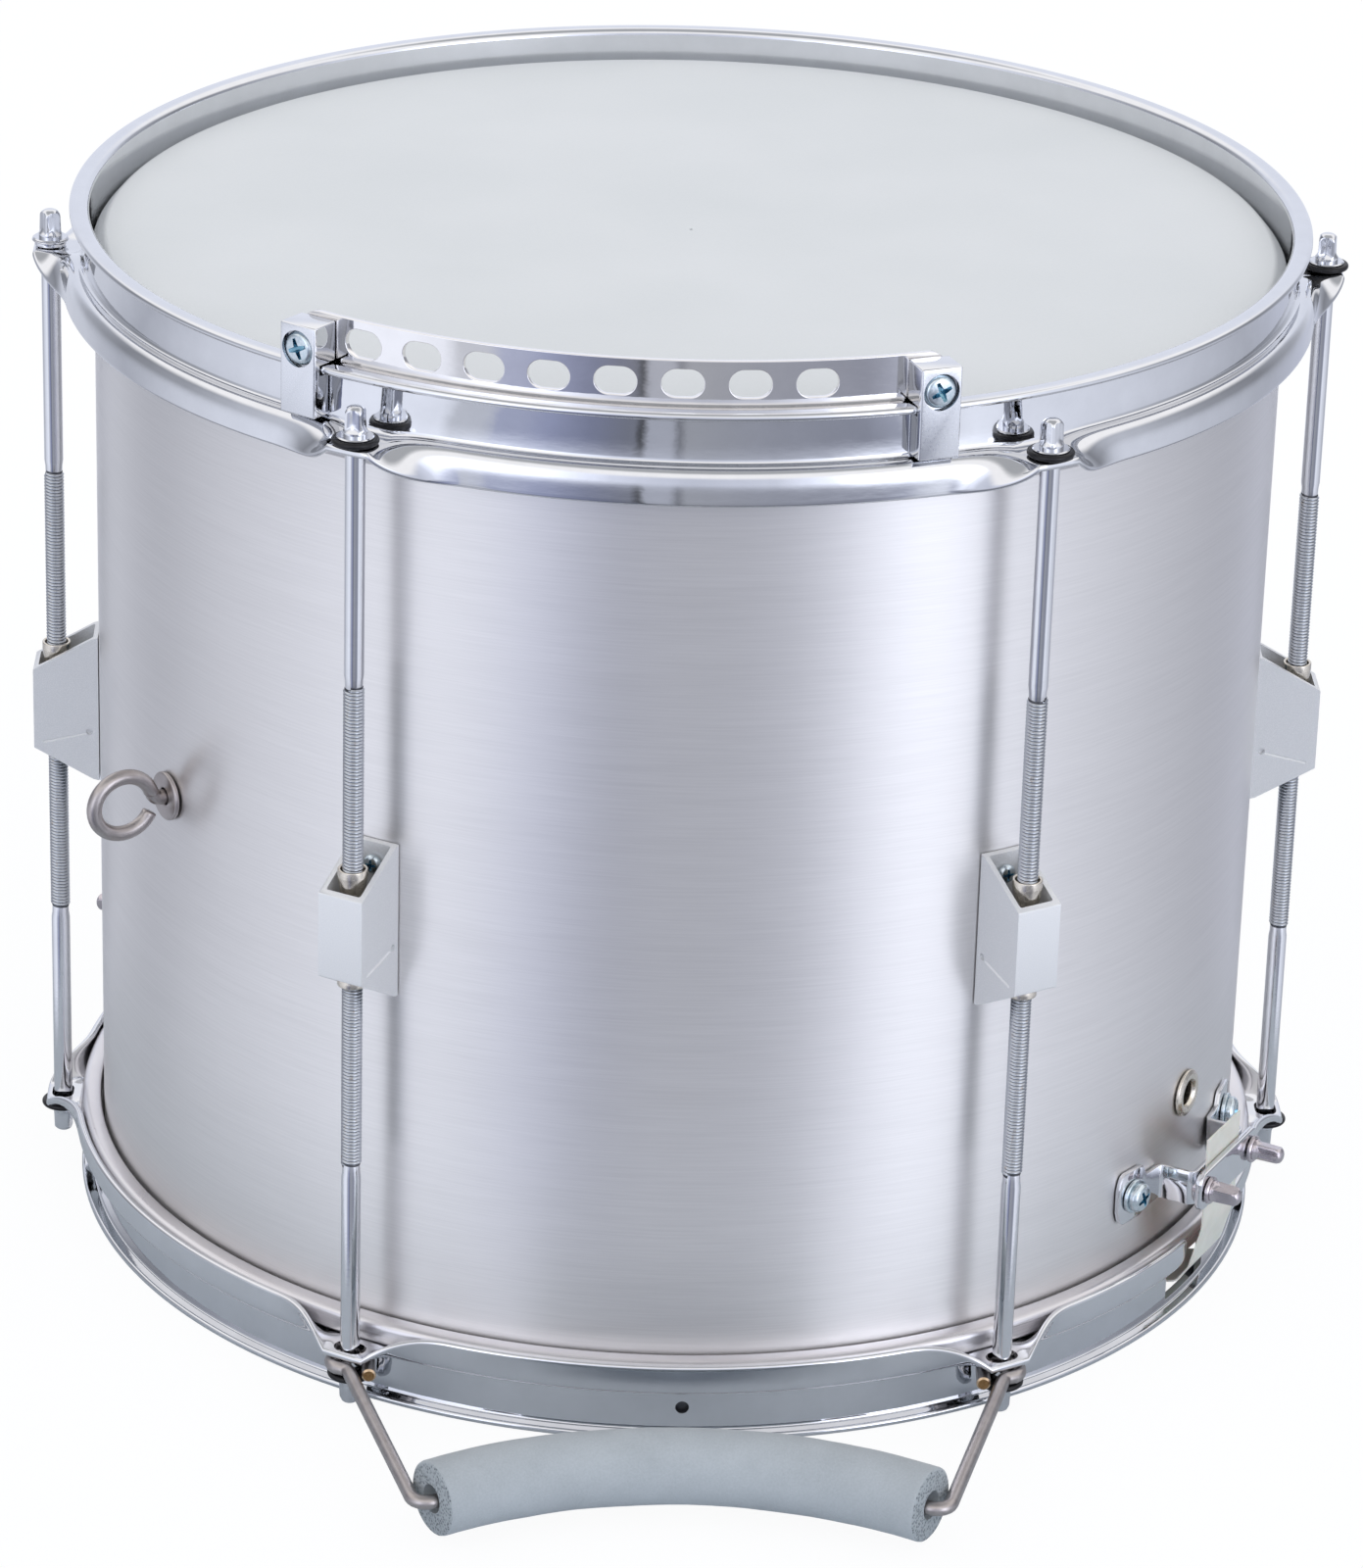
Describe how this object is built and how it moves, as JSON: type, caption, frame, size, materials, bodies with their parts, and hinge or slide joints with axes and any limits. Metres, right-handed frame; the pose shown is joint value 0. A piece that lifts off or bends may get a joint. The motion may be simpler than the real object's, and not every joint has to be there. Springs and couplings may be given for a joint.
{
  "type": "marching snare drum",
  "caption": "Marching snare drum with a metal shell, flanged tension hoops, key rods in lugs, a slotted carrier plate, a sling eye, snare wires with a throw-off, and a padded leg rest.",
  "frame": {"origin": "centre of the batter head's playing face", "axes": "+Z along the drum's axis, out of the playing face; -Y towards the player's leg rest; +X to the right seen from the leg rest"},
  "size_m": [0.397, 0.441, 0.3315],
  "materials": {
    "shell_aluminium": "brushed round the shell",
    "coated_film": "sprayed matte coat on polyester film",
    "clear_film": "thin hazy polyester film",
    "satin_aluminium": "satin",
    "chrome": "polished chrome plate",
    "silver_paint": "metallic silver paint",
    "nickel": "satin nickel plate",
    "zinc_plate": "bright zinc plate",
    "stainless_steel": "drawn stainless wire",
    "snare_strap": "translucent cream plastic",
    "grey_foam": "closed cell foam"
  },
  "bodies": {
    "drum": {"shell": "shell_aluminium", "batter_head": "coated_film", "snare_head": "clear_film", "batter_flesh_hoop": "satin_aluminium", "snare_flesh_hoop": "satin_aluminium", "batter_hoop": "chrome", "snare_hoop": "chrome", "lug_1": "silver_paint", "lug_bush_1": "nickel", "lug_2": "silver_paint", "lug_bush_2": "nickel", "lug_3": "silver_paint", "lug_bush_3": "nickel", "lug_4": "silver_paint", "lug_bush_4": "nickel", "lug_5": "silver_paint", "lug_bush_5": "nickel", "lug_6": "silver_paint", "lug_bush_6": "nickel", "accessory_plate": "chrome", "clamp_block_left": "chrome", "clamp_screw_left": "zinc_plate", "clamp_block_right": "chrome", "clamp_screw_right": "zinc_plate", "eye_bolt": "stainless_steel", "eye_washer": "stainless_steel", "vent_grommet": "nickel", "butt_bridge": "chrome", "butt_clamp_bar": "nickel", "butt_strap": "snare_strap", "butt_foot_screw_left": "zinc_plate", "butt_foot_screw_right": "zinc_plate", "strainer_foot_screw_left": "zinc_plate", "strainer_foot_screw_right": "zinc_plate", "strainer_bracket": "chrome", "leg_rest_wire": "stainless_steel", "leg_rest_foam": "grey_foam"},
    "batter_rod_1": {"batter_rod_1": "chrome"},
    "snare_rod_1": {"snare_rod_1": "chrome"},
    "batter_rod_2": {"batter_rod_2": "chrome"},
    "snare_rod_2": {"snare_rod_2": "chrome"},
    "batter_rod_3": {"batter_rod_3": "chrome"},
    "snare_rod_3": {"snare_rod_3": "chrome"},
    "batter_rod_4": {"batter_rod_4": "chrome"},
    "snare_rod_4": {"snare_rod_4": "chrome"},
    "batter_rod_5": {"batter_rod_5": "chrome"},
    "snare_rod_5": {"snare_rod_5": "chrome"},
    "batter_rod_6": {"batter_rod_6": "chrome"},
    "snare_rod_6": {"snare_rod_6": "chrome"},
    "butt_key_screw_left": {"butt_key_screw_left": "nickel"},
    "butt_key_screw_right": {"butt_key_screw_right": "nickel"},
    "strainer_key_screw_left": {"strainer_key_screw_left": "nickel"},
    "strainer_key_screw_right": {"strainer_key_screw_right": "nickel"},
    "slide": {"strainer_slide": "chrome", "strainer_clamp_bar": "nickel", "strainer_strap": "snare_strap"},
    "lever": {"strainer_lever": "chrome"},
    "knob": {"strainer_knob": "nickel"},
    "wires": {"snare_wires": "stainless_steel"}
  },
  "joints": [
    {"name": "batter_rod_1_turn", "type": "hinge", "parent": "drum", "child": "batter_rod_1", "pos_m": [-0.0956, 0.16558, -0.0083], "axis": [0, 0, 1], "continuous": true},
    {"name": "snare_rod_1_turn", "type": "hinge", "parent": "drum", "child": "snare_rod_1", "pos_m": [-0.0956, 0.16558, -0.2929], "axis": [0, 0, 1], "continuous": true},
    {"name": "batter_rod_2_turn", "type": "hinge", "parent": "drum", "child": "batter_rod_2", "pos_m": [-0.1912, 0, -0.0083], "axis": [0, 0, 1], "continuous": true},
    {"name": "snare_rod_2_turn", "type": "hinge", "parent": "drum", "child": "snare_rod_2", "pos_m": [-0.1912, 0, -0.2929], "axis": [0, 0, 1], "continuous": true},
    {"name": "batter_rod_3_turn", "type": "hinge", "parent": "drum", "child": "batter_rod_3", "pos_m": [-0.0956, -0.16558, -0.0083], "axis": [0, 0, 1], "continuous": true},
    {"name": "snare_rod_3_turn", "type": "hinge", "parent": "drum", "child": "snare_rod_3", "pos_m": [-0.0956, -0.16558, -0.2929], "axis": [0, 0, 1], "continuous": true},
    {"name": "batter_rod_4_turn", "type": "hinge", "parent": "drum", "child": "batter_rod_4", "pos_m": [0.0956, -0.16558, -0.0083], "axis": [0, 0, 1], "continuous": true},
    {"name": "snare_rod_4_turn", "type": "hinge", "parent": "drum", "child": "snare_rod_4", "pos_m": [0.0956, -0.16558, -0.2929], "axis": [0, 0, 1], "continuous": true},
    {"name": "batter_rod_5_turn", "type": "hinge", "parent": "drum", "child": "batter_rod_5", "pos_m": [0.1912, 0, -0.0083], "axis": [0, 0, 1], "continuous": true},
    {"name": "snare_rod_5_turn", "type": "hinge", "parent": "drum", "child": "snare_rod_5", "pos_m": [0.1912, 0, -0.2929], "axis": [0, 0, 1], "continuous": true},
    {"name": "batter_rod_6_turn", "type": "hinge", "parent": "drum", "child": "batter_rod_6", "pos_m": [0.0956, 0.16558, -0.0083], "axis": [0, 0, 1], "continuous": true},
    {"name": "snare_rod_6_turn", "type": "hinge", "parent": "drum", "child": "snare_rod_6", "pos_m": [0.0956, 0.16558, -0.2929], "axis": [0, 0, 1], "continuous": true},
    {"name": "butt_key_screw_left_turn", "type": "hinge", "parent": "drum", "child": "butt_key_screw_left", "pos_m": [0.16062, -0.10926, -0.2636], "axis": [0.8704, -0.4924, 0], "continuous": true},
    {"name": "butt_key_screw_right_turn", "type": "hinge", "parent": "drum", "child": "butt_key_screw_right", "pos_m": [0.17638, -0.08141, -0.2636], "axis": [0.8704, -0.4924, 0], "continuous": true},
    {"name": "strainer_key_screw_left_turn", "type": "hinge", "parent": "slide", "child": "strainer_key_screw_left", "pos_m": [-0.16062, 0.10926, -0.2636], "axis": [-0.8704, 0.4924, 0], "continuous": true},
    {"name": "strainer_key_screw_right_turn", "type": "hinge", "parent": "slide", "child": "strainer_key_screw_right", "pos_m": [-0.17638, 0.08141, -0.2636], "axis": [-0.8704, 0.4924, 0], "continuous": true},
    {"name": "strainer_lever_throw", "type": "hinge", "parent": "drum", "child": "lever", "pos_m": [-0.16102, 0.0911, -0.2298], "axis": [-0.4924, -0.8704, 0], "range_deg": [0, 90]},
    {"name": "strainer_slide_drop", "type": "slide", "parent": "drum", "child": "slide", "axis": [0, 0, -1], "range_m": [0, 0.0036]},
    {"name": "strainer_knob_turn", "type": "hinge", "parent": "drum", "child": "knob", "pos_m": [-0.16606, 0.09395, -0.1915], "axis": [0, 0, 1], "continuous": true},
    {"name": "snare_wires_drop", "type": "hinge", "parent": "drum", "child": "wires", "pos_m": [0.13665, -0.07731, -0.30295], "axis": [-0.4924, -0.8704, 0], "range_deg": [0, 0.66]}
  ],
  "couplings": [
    {"joint": "strainer_slide_drop", "follows": "strainer_lever_throw", "m_per_rad": 0.002228},
    {"joint": "snare_wires_drop", "follows": "strainer_lever_throw", "ratio": 0.00707}
  ]
}
